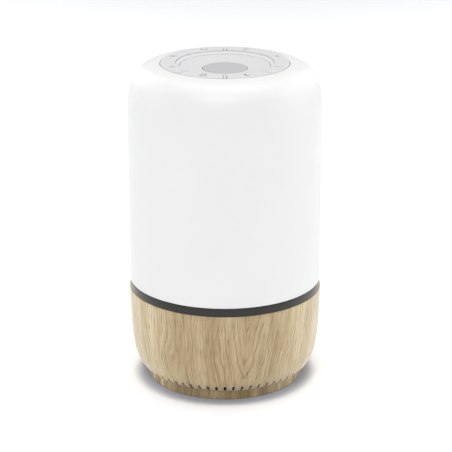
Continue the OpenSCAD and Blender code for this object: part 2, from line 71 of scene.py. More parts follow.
Z_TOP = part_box("key_front_left")[1][2] / MM
Z_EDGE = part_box("opal_shade")[1][2] / MM
Z_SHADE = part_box("trim_band")[0][2] / MM + 5.6
Z_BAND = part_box("trim_band")[0][2] / MM
FOOT_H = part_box("foot_ring")[1][2] / MM
Z_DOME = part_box("dome_centre")[1][2] / MM
SHADE_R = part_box("opal_shade")[1][0] / MM
BAND_R = SHADE_R - 0.2
FOOT_R = 0.8 * SHADE_R
PANEL_R = 0.659 * SHADE_R
OPENING_R = PANEL_R + 0.4
KEY_IN_R = PANEL_R - 9.6
KEY_MID_R = (PANEL_R + KEY_IN_R) / 2
BEVEL_OUT_R = KEY_IN_R - 0.3
BEVEL_IN_R = BEVEL_OUT_R - 2
DISH_OUT_R = BEVEL_IN_R - 0.3
BUTTON_R = 14.2
DISH_IN_R = BUTTON_R + 0.35
DISH_CURVE = 172
KEY_GAP = 0.35
KEY_T = 2.4
STEM_TOP = Z_TOP - KEY_T + 0.1
KEY_STEM_R = 2
GUIDE_STEM_R = 1.3
GUIDE_LIFT = 1.5
ROCKER_STEM_LIFT = 0.52
PIN_DROP = 4.6
PIN_DISTANCE = 36.14
BRIDGE_W = 1.8
ROCKER_RISE = 0.2
SLOT_COUNT = 62
SLOT_W = 1.75
SLOT_H = 4.3
ARCH_POINT = 1.45
INLET_Z = 33
SHADE_ARCS = ((0.804 * SHADE_R, 20.6), (0.235 * SHADE_R, 80))
BASE_ARCS = ((0.138 * SHADE_R, -30), (0.58 * SHADE_R, -10), (1.9 * SHADE_R, -2))


# ---- Small tools ----

def hex_colour(code):
    """Linear colour with alpha from an sRGB hex value such as "d9c6a4"."""
    channels = [int(code[i:i + 2], 16) / 255 for i in (0, 2, 4)]
    return [c / 12.92 if c <= 0.04045 else ((c + 0.055) / 1.055) ** 2.4 for c in channels] + [1]


def add_node(tree, kind, settings=None, **inputs):
    """Adds a shader node, sets its settings, and sets or links its inputs. i0, i1 name inputs by place."""
    node = tree.nodes.new("ShaderNode" + kind)
    for key, value in (settings or {}).items():
        setattr(node, key, value)
    for key, value in inputs.items():
        place = int(key[1:]) if key[0] == "i" and key[1:].isdigit() else key.replace("_", " ")
        socket = node.inputs[place]
        if isinstance(value, bpy.types.NodeSocket):
            tree.links.new(value, socket)
        else:
            socket.default_value = value
    return node


def deselect():
    if bpy.context.object and bpy.context.object.mode != "OBJECT":
        bpy.ops.object.mode_set(mode="OBJECT")
    bpy.ops.object.select_all(action="DESELECT")


def make_active(obj):
    deselect()
    obj.select_set(True)
    bpy.context.view_layer.objects.active = obj


def edit(obj):
    make_active(obj)
    bpy.ops.object.mode_set(mode="EDIT")
    bpy.ops.mesh.select_all(action="SELECT")


def leave_edit():
    bpy.ops.object.mode_set(mode="OBJECT")


def settle(obj, name, smooth_angle=35):
    """Applies the object's place into its mesh, names it and smooths its faces."""
    make_active(obj)
    bpy.ops.object.transform_apply(location=True, rotation=True, scale=True)
    bpy.ops.object.shade_smooth_by_angle(angle=math.radians(smooth_angle))
    obj.name = name
    obj.data.name = name
    return obj


def join(pieces, name):
    deselect()
    for piece in pieces:
        piece.select_set(True)
    bpy.context.view_layer.objects.active = pieces[0]
    bpy.ops.object.join()
    joined = bpy.context.object
    joined.name = name
    joined.data.name = name
    return joined


def cut_away(obj, cutter):
    """Cuts the cutter's shape out of obj and removes the cutter."""
    make_active(obj)
    cut = obj.modifiers.new("cut", "BOOLEAN")
    cut.operation = "DIFFERENCE"
    cut.solver = "EXACT"
    cut.object = cutter
    bpy.ops.object.modifier_apply(modifier="cut")
    make_active(cutter)
    bpy.ops.object.delete()


# ---- Outlines ----

def rounded(corners, facets=5):
    """Outline points from corners (radius from the axis, height, corner rounding)."""
    points = []
    count = len(corners)
    for i, (r, z, fillet) in enumerate(corners):
        if not fillet:
            points.append((r, z))
            continue
        before, after = corners[i - 1], corners[(i + 1) % count]
        d1 = (before[0] - r, before[1] - z)
        d2 = (after[0] - r, after[1] - z)
        l1, l2 = math.hypot(*d1), math.hypot(*d2)
        u1, u2 = (d1[0] / l1, d1[1] / l1), (d2[0] / l2, d2[1] / l2)
        half = math.acos(max(-1, min(1, u1[0] * u2[0] + u1[1] * u2[1]))) / 2
        run = fillet / math.tan(half)
        bis = (u1[0] + u2[0], u1[1] + u2[1])
        scale = fillet / math.sin(half) / math.hypot(*bis)
        centre = (r + bis[0] * scale, z + bis[1] * scale)
        a0 = math.atan2(z + u1[1] * run - centre[1], r + u1[0] * run - centre[0])
        a1 = math.atan2(z + u2[1] * run - centre[1], r + u2[0] * run - centre[0])
        sweep = (a1 - a0 + math.pi) % (2 * math.pi) - math.pi
        for k in range(facets + 1):
            a = a0 + sweep * k / facets
            points.append((centre[0] + fillet * math.cos(a), centre[1] + fillet * math.sin(a)))
    return points


def arc_chain(start, angle, arcs, inset=0, facets=14):
    """Points along arcs that follow each other smoothly, moved inwards by inset."""
    r, z = start
    points = []
    for radius, end in arcs:
        centre = (r - radius * math.cos(math.radians(angle)), z - radius * math.sin(math.radians(angle)))
        for k in range(facets + 1):
            a = math.radians(angle + (end - angle) * k / facets)
            if k or not points:
                reach = radius - inset
                points.append((centre[0] + reach * math.cos(a), centre[1] + reach * math.sin(a)))
        r = centre[0] + radius * math.cos(math.radians(end))
        z = centre[1] + radius * math.sin(math.radians(end))
        angle = end
    return points


def turned(name, outline, steps=TURN_STEPS, start=0.0, sweep=360.0, closed=True):
    """A piece spun about the upright axis from an outline of (radius, height) points.

    start and sweep are azimuths in degrees, counted from the front towards the right.
    """
    deselect()
    side, front = math.sin(math.radians(start)), -math.cos(math.radians(start))
    places = [(r * side * MM, r * front * MM, z * MM) for r, z in outline]
    bpy.ops.mesh.primitive_plane_add(size=MM, location=(0, 0, 0))
    piece = bpy.context.object
    edit(piece)
    bpy.ops.mesh.select_mode(type="VERT")
    bpy.ops.mesh.merge(type="CENTER")
    bpy.ops.transform.translate(value=places[0])
    for last, place in zip(places, places[1:]):
        bpy.ops.mesh.extrude_region_move(
            TRANSFORM_OT_translate={"value": [b - a for a, b in zip(last, place)]})
    if closed:
        leave_edit()
        for v in piece.data.vertices:
            v.select = v.index in (0, len(places) - 1)
        bpy.ops.object.mode_set(mode="EDIT")
        bpy.ops.mesh.select_mode(type="VERT")
        bpy.ops.mesh.edge_face_add()
    bpy.ops.mesh.select_all(action="SELECT")
    bpy.ops.mesh.spin(steps=steps, angle=-math.radians(sweep), center=(0, 0, 0), axis=(0, 0, 1))
    bpy.ops.mesh.select_all(action="SELECT")
    bpy.ops.mesh.remove_doubles(threshold=2e-6)
    bpy.ops.mesh.normals_make_consistent(inside=False)
    leave_edit()
    return settle(piece, name)


def peg(r, z0, z1, azimuth, distance, tip=0.3, sides=32):
    """A round upright peg with softened ends."""
    deselect()
    a = math.radians(azimuth)
    bpy.ops.mesh.primitive_cylinder_add(
        vertices=sides, radius=r * MM, depth=(z1 - z0) * MM,
        location=(distance * math.sin(a) * MM, -distance * math.cos(a) * MM, (z0 + z1) / 2 * MM))
    piece = bpy.context.object
    edit(piece)
    bpy.ops.mesh.select_all(action="DESELECT")
    leave_edit()
    for f in piece.data.polygons:
        f.select = abs(f.normal.z) > 0.9
    bpy.ops.object.mode_set(mode="EDIT")
    bpy.ops.mesh.select_mode(type="FACE")
    bpy.ops.mesh.bevel(offset=tip * MM, segments=2)
    leave_edit()
    return settle(piece, "peg")


def block(size, centre, bevel, segments=2, along=None, name="block"):
    """A cuboid with softened edges. along limits the softening to edges that run along that axis."""
    deselect()
    bpy.ops.mesh.primitive_cube_add(size=1, location=[c * MM for c in centre])
    piece = bpy.context.object
    edit(piece)
    bpy.ops.transform.resize(value=[s * MM for s in size])
    if along is not None:
        bpy.ops.mesh.select_all(action="DESELECT")
        leave_edit()
        for e in piece.data.edges:
            a, b = (piece.data.vertices[i].co for i in e.vertices)
            e.select = abs((a - b).normalized()[along]) > 0.9
        bpy.ops.object.mode_set(mode="EDIT")
        bpy.ops.mesh.select_mode(type="EDGE")
    bpy.ops.mesh.bevel(offset=bevel * MM, segments=segments, affect="EDGES")
    leave_edit()
    return settle(piece, name)


def slice_off(piece, point, normal):
    """Cuts a piece with a plane, drops the side the normal points to and closes the cut."""
    edit(piece)
    bpy.ops.mesh.bisect(plane_co=[p * MM for p in point], plane_no=normal, use_fill=True, clear_outer=True)
    leave_edit()


def soften_ends(piece, normals, width=0.2):
    """Bevels the rims of the flat end faces that look along the given directions."""
    make_active(piece)
    for f in piece.data.polygons:
        f.select = any(sum(a * b for a, b in zip(f.normal, n)) > 0.999 for n in normals)
    bpy.ops.object.mode_set(mode="EDIT")
    bpy.ops.mesh.select_mode(type="FACE")
    bpy.ops.mesh.region_to_loop()
    bpy.ops.mesh.bevel(offset=width * MM, segments=2, affect="EDGES")
    leave_edit()


# ---- Materials ----

def new_material(name):
    material = bpy.data.materials.new(name)
    material.use_nodes = True
    material.node_tree.nodes.clear()
    return material, material.node_tree


def finish_material(tree, colour, roughness, height=None, relief=0.1, **constants):
    """Principled surface from a colour, a roughness and a height map whose full swing is relief mm."""
    surface = add_node(tree, "BsdfPrincipled", Base_Color=colour, Roughness=roughness, **constants)
    if height is not None:
        bump = add_node(tree, "Bump", Strength=1.0, Distance=relief * MM, Height=height)
        tree.links.new(bump.outputs[0], surface.inputs["Normal"])
    add_node(tree, "OutputMaterial", Surface=surface.outputs[0])


def millimetres(tree):
    """Object coordinates in millimetres."""
    place = add_node(tree, "TexCoord").outputs["Object"]
    return add_node(tree, "VectorMath", {"operation": "SCALE"}, i0=place, Scale=1000.0).outputs[0]


def grain(tree, place, per_mm, detail=2.0, roughness=0.5, distortion=0.0):
    """Noise of so many grains per millimetre, 0 to 1."""
    return add_node(tree, "TexNoise", Vector=place, Scale=per_mm, Detail=detail, Roughness=roughness,
                    Distortion=distortion).outputs["Fac"]


def remap(tree, value, low, high, new_low, new_high):
    return add_node(tree, "MapRange", i0=value, i1=low, i2=high, i3=new_low, i4=new_high).outputs[0]


def blend_colours(tree, factor, first, second, mode="MIX"):
    mix = add_node(tree, "Mix", {"data_type": "RGBA", "blend_type": mode}, i0=factor, i6=first, i7=second)
    return mix.outputs[2]


def combine(tree, operation, first, second):
    return add_node(tree, "Math", {"operation": operation}, i0=first, i1=second).outputs[0]


def moulded_plastic(name, main, shade, low_gloss, high_gloss, texture_mm, relief, **constants):
    """Injection-moulded plastic: a spark-eroded mould leaves a fine even grain and slight gloss drift."""
    material, tree = new_material(name)
    place = millimetres(tree)
    drift = grain(tree, place, 0.03, 3)
    fine = grain(tree, place, 1 / texture_mm, 3, 0.6)
    colour = blend_colours(tree, drift, hex_colour(main), hex_colour(shade))
    rough = combine(tree, "ADD", remap(tree, drift, 0.3, 0.7, low_gloss, high_gloss),
                    remap(tree, fine, 0.3, 0.7, -0.02, 0.02))
    finish_material(tree, colour, rough, fine, relief, **constants)
    return material


def opal_acrylic():
    # Opal acrylic diffuser, moulded and satin etched: white, faintly translucent, soft broad shine.
    return moulded_plastic("opal_acrylic_satin", "f0f0ef", "ededec", 0.34, 0.4, 0.45, 0.006,
                           IOR=1.49, Subsurface_Weight=0.25, Subsurface_Radius=(0.004, 0.004, 0.004),
                           Subsurface_Scale=1.0)


def panel_abs():
    # ABS in pale grey with a matt mould texture: the panel under the fingers.
    return moulded_plastic("abs_pale_grey_matt", "d9d9da", "d6d6d7", 0.46, 0.54, 0.35, 0.008, IOR=1.53)


def button_abs():
    # The same ABS a shade darker, with a finer texture: the centre button.
    return moulded_plastic("abs_light_grey_fine_matt", "bebec0", "bababc", 0.5, 0.56, 0.3, 0.006, IOR=1.53)


def band_abs():
    # Charcoal polycarbonate blend, satin: nearly black, with a soft sheen that lifts it at the edges.
    return moulded_plastic("pc_abs_charcoal_satin", "1b1914", "181611", 0.36, 0.42, 0.35, 0.006, IOR=1.5,
                           Sheen_Weight=0.42, Sheen_Roughness=0.35)


def black_moulding():
    # Glass-filled black nylon for parts that don't show: dull, with a coarse moulded grain.
    return moulded_plastic("nylon_black_moulded", "232325", "1c1c1e", 0.5, 0.62, 0.6, 0.02, IOR=1.53)


def frosted_sleeve():
    # Frosted polycarbonate: milky, even, slightly rough.
    return moulded_plastic("polycarbonate_frosted", "eceeef", "e4e7ea", 0.5, 0.6, 0.4, 0.01, IOR=1.58)


def key_print():
    # Pad-printed grey ink on the keys: flat and dry, with the faint speckle of the pad.
    return moulded_plastic("ink_grey_pad_printed", "8f8f92", "9a9a9d", 0.55, 0.65, 0.2, 0.002)


def silicone_clear():
    # Milky silicone rubber: soft sheen, no grain.
    return moulded_plastic("silicone_rubber_milky", "c6ccd0", "bcc3c8", 0.42, 0.5, 1.2, 0.01, IOR=1.41)


def spider_cloth():
    # Resin-dipped woven cotton: dull tan, with a fine weave and no shine.
    return moulded_plastic("resin_dipped_cotton", "ab8550", "94713f", 0.75, 0.9, 0.3, 0.05)


def foot_rubber():
    # Thermoplastic rubber, black and matt, with a pebbled grip.
    return moulded_plastic("rubber_black_pebbled", "1d1d1e", "161617", 0.72, 0.85, 0.5, 0.04)


def plated_steel():
    # Zinc-plated steel, lightly brushed: grey with fine lines round the part.
    material, tree = new_material("steel_zinc_plated")
    place = millimetres(tree)
    lines = add_node(tree, "Mapping", Vector=place, Scale=(0.4, 0.4, 9.0)).outputs[0]
    brushed = grain(tree, lines, 1.0, 3, 0.6)
    cloud = grain(tree, place, 0.25, 3)
    colour = blend_colours(tree, cloud, hex_colour("b9bcc0"), hex_colour("a6a9ae"))
    finish_material(tree, colour, remap(tree, brushed, 0.3, 0.7, 0.28, 0.42), brushed, 0.01, Metallic=1.0)
    return material


def extruded_aluminium():
    # Extruded aluminium: bright, with long die lines along its length.
    material, tree = new_material("aluminium_extruded")
    place = millimetres(tree)
    lines = add_node(tree, "Mapping", Vector=place, Scale=(5.0, 5.0, 0.03)).outputs[0]
    die_lines = grain(tree, lines, 1.0, 4, 0.65)
    colour = blend_colours(tree, die_lines, hex_colour("d3d5d8"), hex_colour("bfc2c6"))
    finish_material(tree, colour, remap(tree, die_lines, 0.3, 0.7, 0.3, 0.45), die_lines, 0.012, Metallic=1.0)
    return material


def copper_foil():
    # Tinned copper foil and enamelled winding: warm, with fine turns.
    material, tree = new_material("copper_enamelled")
    place = millimetres(tree)
    turns = add_node(tree, "Mapping", Vector=place, Scale=(0.1, 0.1, 4.0)).outputs[0]
    winding = add_node(tree, "TexWave", {"bands_direction": "Z"}, Vector=turns, Scale=1.0, Distortion=0.4,
                       Detail=1.0).outputs["Fac"]
    colour = blend_colours(tree, winding, hex_colour("b86f3c"), hex_colour("8f4f27"))
    finish_material(tree, colour, remap(tree, winding, 0.0, 1.0, 0.28, 0.4), winding, 0.05, Metallic=1.0)
    return material


def circuit_board():
    # Glass-epoxy board under green solder mask: fine copper tracks show as lighter, raised lines.
    material, tree = new_material("board_solder_mask_green")
    place = millimetres(tree)
    cells = add_node(tree, "TexVoronoi", {"feature": "DISTANCE_TO_EDGE"}, Vector=place, Scale=0.22)
    tracks = remap(tree, cells.outputs["Distance"], 0.02, 0.035, 1.0, 0.0)
    weave = grain(tree, place, 1.6, 2)
    mask = blend_colours(tree, weave, hex_colour("14532f"), hex_colour("0f4527"))
    colour = blend_colours(tree, tracks, mask, hex_colour("2f7c4a"))
    finish_material(tree, colour, remap(tree, weave, 0.3, 0.7, 0.22, 0.32), tracks, 0.03, IOR=1.55)
    return material


def wrapped_place(tree):
    """Distance round the body from the front and height, in mm, as a veneer wrapped round it lies."""
    split = add_node(tree, "SeparateXYZ", Vector=millimetres(tree))
    towards_front = combine(tree, "MULTIPLY", split.outputs[1], -1.0)
    angle = combine(tree, "ARCTAN2", split.outputs[0], towards_front)
    around = combine(tree, "MULTIPLY", angle, SHADE_R)
    # Two leaves, front and back, book-matched: they mirror each other where they meet at the sides.
    leaf = math.pi * SHADE_R
    folded = combine(tree, "PINGPONG", combine(tree, "ADD", around, leaf / 2), leaf)
    return combine(tree, "SUBTRACT", folded, leaf / 2), split.outputs[2]


def along_grain(tree, across, height, fine, long, seed, detail=3.0, roughness=0.5):
    """Noise drawn out along the grain: fine cycles per mm across it and long cycles per mm along it."""
    place = add_node(tree, "CombineXYZ", X=combine(tree, "MULTIPLY", across, fine),
                     Y=combine(tree, "MULTIPLY", height, long), Z=seed).outputs[0]
    return grain(tree, place, 1.0, detail, roughness)


def tone_ramp(tree, factor, stops):
    """A grey tone from stops of (place, tone)."""
    ramp = add_node(tree, "ValToRGB", i0=factor)
    elements = ramp.color_ramp.elements
    while len(elements) < len(stops):
        elements.new(0.5)
    for element, (place, tone) in zip(elements, stops):
        element.position = place
        element.color = (tone, tone, tone, 1)
    return ramp.outputs[0]


def oak_veneer(name, tones, painted_side_lift, arch_centre, top, ring_gap, staves=0.0):
    """White oak, crown cut and wrapped round, under a thin matt lacquer. Where the cut runs along the
    rings they show as nested arches that open upwards, and beside them as straight grain. Short dark
    pores lie along the grain, and the sanded fibre gives a pale haze at flat angles."""
    material, tree = new_material(name)
    around, height = wrapped_place(tree)
    wander = remap(tree, along_grain(tree, around, height, 0.05, 0.025, 2.0, 2), 0.2, 0.8, -2.9, 2.9)
    ripple = remap(tree, along_grain(tree, around, height, 0.22, 0.07, 5.0, 2), 0.2, 0.8, -0.55, 0.55)
    lean = combine(tree, "MULTIPLY", combine(tree, "SUBTRACT", height, 15.0), 0.05)
    centred = combine(tree, "SUBTRACT", combine(tree, "SUBTRACT", around, arch_centre), lean)
    across = combine(tree, "ADD", centred, combine(tree, "ADD", wander, ripple))

    # Distance from the heart of the trunk to the cut, which comes nearer towards the top.
    depth = combine(tree, "MULTIPLY", combine(tree, "SUBTRACT", top, height), 0.215)
    # An exponent under 2 draws the arches to a point.
    sizes = [combine(tree, "ABSOLUTE", way, 0.0) for way in (across, depth)]
    powers = [combine(tree, "POWER", size, ARCH_POINT) for size in sizes]
    heart = combine(tree, "POWER", combine(tree, "ADD", *powers), 1 / ARCH_POINT)
    years = along_grain(tree, heart, 0.0, 0.14, 0.0, 9.0, 2)
    phase = combine(tree, "ADD", combine(tree, "DIVIDE", heart, ring_gap),
                    combine(tree, "MULTIPLY", years, 3.0))
    ring = tone_ramp(tree, combine(tree, "FRACT", phase, 0.0),
                     ((0.0, 0.1), (0.5, 0.12), (0.74, 0.85), (0.86, 1.0), (0.97, 0.1)))
    strength = remap(tree, along_grain(tree, heart, height, 0.3, 0.02, 12.0, 2), 0.35, 0.65, 0.25, 1.0)
    ring = combine(tree, "MULTIPLY", ring, strength)

    streak = along_grain(tree, across, height, 0.13, 0.01, 3.7, 4, 0.6)
    fibre = along_grain(tree, across, height, 1.3, 0.045, 1.3, 4, 0.7)
    pore_cells = along_grain(tree, across, height, 2.1, 0.12, 8.1, 2)
    pore = combine(tree, "MULTIPLY", remap(tree, pore_cells, 0.55, 0.64, 0.0, 1.0),
                   remap(tree, ring, 0.0, 0.8, 0.4, 1.0))

    pale, middle, brown, dark = (hex_colour(t) for t in tones)
    colour = blend_colours(tree, remap(tree, streak, 0.38, 0.6, 0.0, 1.0), pale, middle)
    colour = blend_colours(tree, combine(tree, "MULTIPLY", ring, 0.75), colour, brown)
    colour = blend_colours(tree, remap(tree, fibre, 0.45, 0.7, 0.0, 0.6), colour, brown)
    colour = blend_colours(tree, combine(tree, "MULTIPLY", pore, 0.6), colour, dark)
    # Painted light: out towards the sides, away from the front, the colour is lifted paler, standing in for
    # the brighter light that falls on the sides.
    painted_side_light = remap(tree, combine(tree, "ABSOLUTE", around, 0.0), 31.0, 56.0, 0.0, 1.0)
    colour = blend_colours(tree, painted_side_light, colour, painted_side_lift + (1,), "MULTIPLY")
    if staves:
        stave = combine(tree, "FLOOR", combine(tree, "DIVIDE", around, 5.3), 0.0)
        tone = add_node(tree, "TexWhiteNoise", {"noise_dimensions": "1D"}, W=stave).outputs["Value"]
        colour = blend_colours(tree, combine(tree, "MULTIPLY", tone, staves), colour, dark)
    relief = combine(tree, "SUBTRACT", combine(tree, "MULTIPLY", fibre, 0.5), pore)
    rough = remap(tree, combine(tree, "ADD", fibre, pore), 0.2, 1.4, 0.45, 0.62)
    finish_material(tree, colour, rough, relief, 0.04, IOR=1.5, Sheen_Weight=0.55, Sheen_Roughness=0.4)
    return material


MATERIALS = {
    "opal": opal_acrylic(),
    "panel_grey": panel_abs(),
    "button_grey": button_abs(),
    "charcoal": band_abs(),
    "oak": oak_veneer("oak_crown_cut_lacquered", ("ccb892", "b59f77", "8e7549", "5c4729"),
                      painted_side_lift=(1.4, 1.48, 1.63), arch_centre=12.5, top=62.0, ring_gap=2.1),
    "rubber_black": foot_rubber(),
    "steel": plated_steel(),
    "aluminium": extruded_aluminium(),
    "board_green": circuit_board(),
    "silicone": silicone_clear(),
    "frosted": frosted_sleeve(),
    "copper": copper_foil(),
    "inner_black": black_moulding(),
}
# The foot's sides get a stronger lift of painted side light.
OAK_FOOT = oak_veneer("oak_staves_lacquered", ("cfb98f", "b79d70", "93784d", "5f4a2b"),
                      painted_side_lift=(1.6, 1.7, 1.9), arch_centre=-31.0, top=83.0, ring_gap=1.7, staves=0.5)
PRINT = key_print()


def dress(piece, slot, material=None):
    piece.data.materials.clear()
    piece.data.materials.append(material or MATERIALS[slot])


def fit(piece, slot, body, *nodes, material=None):
    """Gives a finished piece its material and body, and hides the CAD nodes it stands for."""
    dress(piece, slot, material)
    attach(piece, body)
    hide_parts(*nodes)


# ---- Body ----

def make_shade():
    wall = 2.2
    dome = math.tan(math.radians(10))
    run = arc_chain((0, 0), 0, SHADE_ARCS)[-1]
    dome_r = SHADE_R + run[0]
    shoulder_z = Z_EDGE - (dome_r - OPENING_R) * dome - run[1]
    outer = arc_chain((SHADE_R, shoulder_z), 0, SHADE_ARCS, facets=24)
    land = Z_EDGE - 4.4
    inner = [p for p in arc_chain((SHADE_R, shoulder_z), 0, SHADE_ARCS, wall) if p[1] < land - 0.3]
    lip = rounded([(OPENING_R + 3, Z_EDGE - 3 * dome, 0), (OPENING_R, Z_EDGE, 0.25), (OPENING_R, land, 0)])
    foot = rounded([(SHADE_R - wall, Z_SHADE + 6, 0), (SHADE_R - wall, Z_SHADE, 0.5), (SHADE_R, Z_SHADE, 0.6),
                    (SHADE_R, Z_SHADE + 6, 0)])
    outline = foot + outer + lip[1:] + [(inner[-1][0] - 0.5, land)] + inner[::-1]
    shade = turned("shade", outline, steps=192)
    fit(shade, "opal", "housing", "opal_shade")


def make_band():
    deck_r = BAND_R - 3.6
    outline = rounded([
        (deck_r, Z_BAND, 0.3), (BAND_R, Z_BAND, 0.35), (BAND_R, Z_SHADE, 0.35), (60.2, Z_SHADE, 0.0),
        (60.2, Z_SHADE + 4, 0.5), (58.7, Z_SHADE + 4, 0.5)], 4)
    fit(turned("band", outline), "charcoal", "housing", "trim_band")


def base_outline():
    lip = 0.054 * SHADE_R
    lean = math.radians(30)
    start = (FOOT_R + lip * math.cos(lean), FOOT_H + lip * math.sin(lean))
    flank = arc_chain(start, -60, BASE_ARCS, facets=16)
    taper = math.tan(math.radians(2))
    top_r = flank[-1][0] + (Z_BAND - flank[-1][1]) * taper
    skin = rounded([(FOOT_R - 2.7, FOOT_H, 0), (FOOT_R, FOOT_H, 0.5), start + (0,)], 4)[:-1] + flank
    rim = rounded([flank[-1] + (0,), (top_r, Z_BAND, 0.5), (57.5, Z_BAND, 0.3), (57.5, 57.4, 0)], 4)[1:]
    inside = [(57.5, 57.2), (59, 55.7), (59, 33.5), (57.7, 24.5), (56, 19), (56, 16.5), (53.5, 16.5),
              (53.5, 13.5), (FOOT_R - 2.7, FOOT_H + 2)]
    return skin + rim[:-1] + inside


def slot_cutters():
    """Upright slots with rounded corners, all round the foot of the base."""
    cutter = block((SLOT_W, 13, SLOT_H), (0, -FOOT_R - 2.5, FOOT_H + 3.3), 0.45, 3, along=1)
    edit(cutter)
    bpy.ops.mesh.spin(steps=SLOT_COUNT - 1, dupli=True, angle=2 * math.pi * (SLOT_COUNT - 1) / SLOT_COUNT,
                      center=(0, 0, 0), axis=(0, 0, 1))
    leave_edit()
    return cutter


def make_base():
    base = turned("base", base_outline(), steps=224)
    cut_away(base, slot_cutters())
    cut_away(base, block((14, 12, 8), (0, 62, INLET_Z), 3.98, 10, along=1))
    collar = block((20, 2.6, 13), (0, 58.2, INLET_Z), 0.5)
    cut_away(collar, block((14, 12, 8), (0, 58, INLET_Z), 3.98, 10, along=1))
    settle(base, "base", 30)
    settle(collar, "collar", 30)
    fit(join([base, collar], "base"), "oak", "housing", "base_shell")


def make_foot():
    outline = rounded([
        (FOOT_R - 6.5, 0.5, 0.3), (FOOT_R - 5.7, 0.5, 0), (FOOT_R - 5.7, 1.3, 0), (FOOT_R - 1.7, 1.3, 0),
        (FOOT_R - 1.7, 0.15, 0.1), (FOOT_R - 0.1, 0.15, 0.25), (FOOT_R - 0.1, FOOT_H, 0.2),
        (FOOT_R - 6.5, FOOT_H, 0)], 4)
    fit(turned("foot", outline), "oak", "housing", "foot_ring", material=OAK_FOOT)
    pad = rounded([(FOOT_R - 5.7, 0, 0.35), (FOOT_R - 1.7, 0, 0.35), (FOOT_R - 1.7, 1.3, 0),
                   (FOOT_R - 5.7, 1.3, 0)])
    fit(turned("foot_pad", pad), "rubber_black", "housing", "rubber_pad")


# ---- Control panel ----

def key_outline(top):
    low = Z_TOP - KEY_T
    return rounded([
        (KEY_IN_R, top, 0.35), (PANEL_R, top, 0.8), (PANEL_R, low - 1.3, 0), (PANEL_R - 0.9, low - 1.3, 0),
        (PANEL_R - 0.9, low, 0), (KEY_IN_R + 0.58, low, 0), (KEY_IN_R + 0.58, low - 1.3, 0),
        (KEY_IN_R, low - 1.3, 0)], 4)


def key_sector(name, middle, reach, top, gaps):
    """A key cut from the ring: gaps are the full widths of the slots at its two ends."""
    piece = turned(name, key_outline(top), steps=int(reach), start=middle - reach / 2 - 3, sweep=reach + 6)
    ends = []
    for side, gap in zip((-1, 1), gaps):
        a = math.radians(middle + side * reach / 2)
        along = (math.sin(a), -math.cos(a))
        out = (-side * along[1], side * along[0], 0)
        slice_off(piece, (-out[0] * gap / 2, -out[1] * gap / 2, 0), out)
        ends.append(out)
    soften_ends(piece, ends)
    return settle(piece, name, 35)


def stroke(length, width, x, y, turn, top):
    """A printed line with round ends."""
    line = block((length, width, 0.08), (0, 0, top), width * 0.48, 4, along=2, name="stroke")
    make_active(line)
    line.rotation_euler.z = math.radians(turn)
    line.location = (x * MM, y * MM, 0)
    return settle(line, "stroke")


def spot(r, x, y, top, hollow=0.0, sides=28):
    """A printed disc, or a ring where hollow is its inner radius."""
    outline = [(hollow, top - 0.04), (r, top - 0.04), (r, top + 0.04), (hollow, top + 0.04)]
    if hollow:
        outline.append(outline[0])
    disc = turned("spot", outline, steps=sides, closed=False)
    disc.location = (x * MM, y * MM, 0)
    return settle(disc, "spot")


def arrow(r, x, y, turn, top):
    """A printed triangle that points along turn."""
    deselect()
    bpy.ops.mesh.primitive_cylinder_add(vertices=3, radius=r * MM, depth=0.08 * MM,
                                        rotation=(0, 0, math.radians(turn - 90)),
                                        location=(x * MM, y * MM, top * MM))
    head = bpy.context.object
    edit(head)
    bpy.ops.mesh.bevel(offset=0.02 * MM, segments=1)
    leave_edit()
    return settle(head, "arrow")


def crescent(r, x, y, top):
    moon = spot(r, 0, 0, top, sides=40)
    bite = spot(r * 0.86, r * 0.5, r * 0.32, top, sides=40)
    edit(bite)
    bpy.ops.transform.resize(value=(1, 1, 4), center_override=(0, 0, top * MM))
    leave_edit()
    cut_away(moon, bite)
    moon.location = (x * MM, y * MM, 0)
    return settle(moon, "moon")


def sun(rays, core, hollow, inner, outer, x, y, top):
    marks = [spot(core, x, y, top, hollow)]
    for i in range(rays):
        a = 2 * math.pi * i / rays
        mid = (inner + outer) / 2
        ray_x, ray_y = x + mid * math.cos(a), y + mid * math.sin(a)
        marks.append(stroke(outer - inner, 0.42, ray_x, ray_y, math.degrees(a), top))
    return marks


def symbol(kind, x, y, top):
    """Generic symbols printed on the keys, about 5 mm wide."""
    if kind == "brighter":
        return sun(8, 1.25, 0, 1.75, 2.75, x, y, top)
    if kind == "dimmer":
        return sun(8, 1.1, 0.65, 1.6, 2.1, x, y, top)
    if kind == "louder":
        return [stroke(4.2, 0.6, x, y, 0, top), stroke(4.2, 0.6, x, y, 90, top)]
    if kind == "quieter":
        return [stroke(4.4, 0.6, x, y, 0, top)]
    if kind == "play":
        return [arrow(1.7, x - 1.3, y, 0, top), stroke(2.9, 0.6, x + 1.1, y, 90, top),
                stroke(2.9, 0.6, x + 2.2, y, 90, top)]
    if kind == "night":
        return [crescent(2.3, x, y, top)]
    if kind == "tune":
        return [spot(0.95, x - 1.2, y - 1.6, top), spot(0.95, x + 1.5, y - 1.2, top),
                stroke(3.6, 0.45, x - 0.45, y, 90, top),
                stroke(3.6, 0.45, x + 2.25, y + 0.4, 90, top), stroke(3.1, 0.8, x + 0.9, y + 2.0, 8, top)]
    return [stroke(2.2, 0.5, x - 1.9, y, 90, top), stroke(4.2, 0.5, x - 0.65, y, 90, top),
            stroke(3.0, 0.5, x + 0.65, y, 90, top), stroke(1.6, 0.5, x + 1.9, y, 90, top)]


def print_on(body, marks):
    """The printed marks of one key, a thin piece of their own that rides on it."""
    prints = join(marks, "print_" + body)
    dress(prints, "button_grey", PRINT)
    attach(prints, body)


def symbol_place(azimuth):
    a = math.radians(azimuth)
    r = 36.2
    return r * math.sin(a), -r * math.cos(a)


